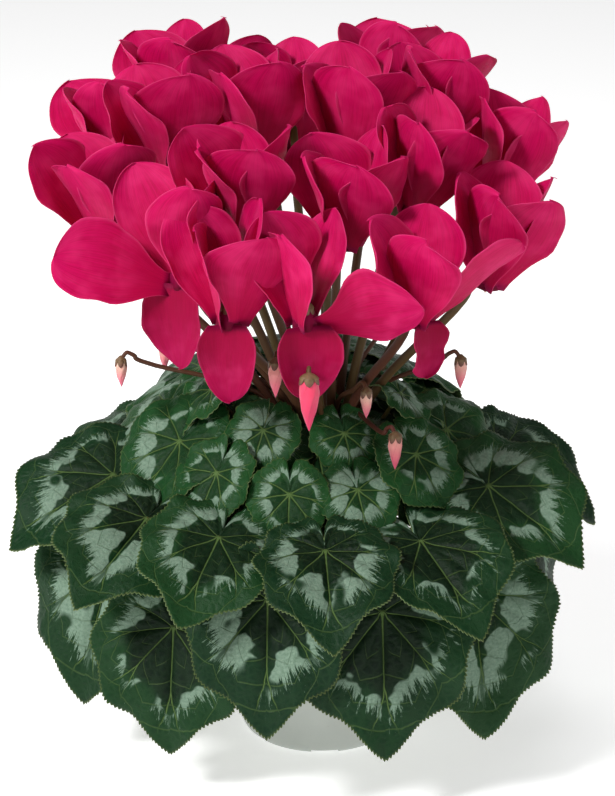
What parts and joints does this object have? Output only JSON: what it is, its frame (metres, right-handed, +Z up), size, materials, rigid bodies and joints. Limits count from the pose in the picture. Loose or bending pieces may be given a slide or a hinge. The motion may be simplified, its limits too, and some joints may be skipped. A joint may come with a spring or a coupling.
{
  "type": "potted cyclamen",
  "caption": "Flowering houseplant in a plain round plastic pot: a dome of marbled heart-shaped leaves under a head of reflexed crimson blooms on bare stalks.",
  "frame": {"origin": "centre of the pot's underside, on the surface the pot stands on", "axes": "+Z up along the pot's axis; -Y towards the viewer of the picture; +X to the viewer's right"},
  "size_m": [0.3431, 0.3427, 0.4208],
  "materials": {
    "pot": "satin",
    "soil": "matte",
    "stalk": "satin",
    "leaf": "satin",
    "petal": "matte"
  },
  "bodies": {
    "root": {"bloom_01": "petal", "bloom_02": "petal", "bloom_03": "petal", "bloom_04": "petal", "bloom_05": "petal", "bloom_06": "petal", "bloom_07": "petal", "bloom_08": "petal", "bloom_09": "petal", "bloom_10": "petal", "bloom_11": "petal", "bloom_12": "petal", "bloom_13": "petal", "bloom_14": "petal", "bloom_15": "petal", "bloom_16": "petal", "bloom_17": "petal", "bloom_18": "petal", "bloom_19": "petal", "bloom_20": "petal", "leaf_collar_01": "leaf", "leaf_collar_02": "leaf", "leaf_collar_03": "leaf", "leaf_collar_04": "leaf", "leaf_collar_05": "leaf", "leaf_collar_06": "leaf", "leaf_collar_07": "leaf", "leaf_collar_08": "leaf", "leaf_collar_09": "leaf", "leaf_collar_10": "leaf", "leaf_collar_11": "leaf", "leaf_collar_12": "leaf", "leaf_shoulder_01": "leaf", "leaf_shoulder_02": "leaf", "leaf_shoulder_03": "leaf", "leaf_shoulder_04": "leaf", "leaf_shoulder_05": "leaf", "leaf_shoulder_06": "leaf", "leaf_shoulder_07": "leaf", "leaf_shoulder_08": "leaf", "leaf_shoulder_09": "leaf", "leaf_shoulder_10": "leaf", "leaf_shoulder_11": "leaf", "leaf_shoulder_12": "leaf", "leaf_skirt_01": "leaf", "leaf_skirt_02": "leaf", "leaf_skirt_03": "leaf", "leaf_skirt_04": "leaf", "leaf_skirt_05": "leaf", "leaf_skirt_06": "leaf", "leaf_skirt_07": "leaf", "leaf_skirt_08": "leaf", "leaf_skirt_09": "leaf", "leaf_skirt_10": "leaf", "leaf_skirt_11": "leaf", "leaf_skirt_12": "leaf", "pot": "pot", "soil": "soil", "tuber_and_stalks": "stalk", "young_leaves": "leaf"}
  },
  "joints": []
}
